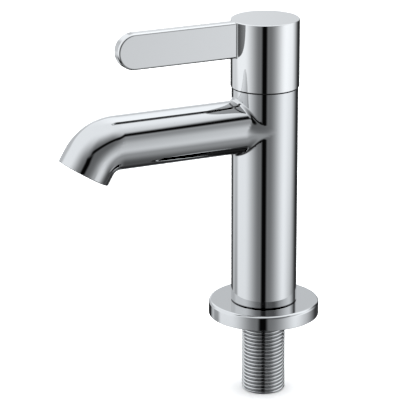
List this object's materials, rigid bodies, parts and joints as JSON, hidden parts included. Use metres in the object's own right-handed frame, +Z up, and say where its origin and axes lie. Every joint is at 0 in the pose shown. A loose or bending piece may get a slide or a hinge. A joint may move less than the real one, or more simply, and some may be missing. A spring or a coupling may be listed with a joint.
{
  "type": "lavatory faucet",
  "caption": "Deck-mounted single-supply basin faucet with a straight spout bent down at its end, a flat lever handle, a round flange and a threaded shank.",
  "frame": {"origin": "on the shank's axis, in the plane of the deck that the flange rests on", "axes": "+Z up along the column, spout and closed lever towards -Y, X across"},
  "size_m": [0.0534, 0.1306, 0.1852],
  "materials": {
    "chrome": "polished chrome plating on brass and zinc",
    "plated_thread": "bright plated pipe thread",
    "brass": "machined",
    "steel": "stainless",
    "ceramic": "lapped alumina",
    "acetal": "moulded acetal",
    "grey_plastic": "moulded",
    "black_rubber": "moulded rubber",
    "fibre": "pressed fibre"
  },
  "bodies": {
    "tap": {"faucet_body": "chrome", "deck_flange": "chrome", "threaded_tail": "plated_thread", "cartridge_housing": "brass", "aerator_screen": "steel", "fixed_disc": "ceramic", "glide_ring": "acetal", "thrust_washer": "acetal", "aerator_housing": "grey_plastic", "aerator_honeycomb": "grey_plastic", "aerator_jet_plate": "grey_plastic", "flange_gasket": "black_rubber", "foot_seal": "black_rubber", "tail_seal": "black_rubber", "seat_seal": "black_rubber", "aerator_washer": "black_rubber", "housing_gasket": "fibre"},
    "lever_handle": {"handle": "chrome", "screw_plug": "chrome", "grub_screw": "steel", "spline_bush": "brass", "spindle": "brass", "circlip": "steel", "spindle_o_rings": "black_rubber", "moving_disc": "ceramic"}
  },
  "joints": [
    {"name": "handle_turn", "type": "hinge", "parent": "tap", "child": "lever_handle", "pos_m": [0, 0, 0.13], "axis": [0, 0, 1], "range_deg": [0, 90]}
  ]
}
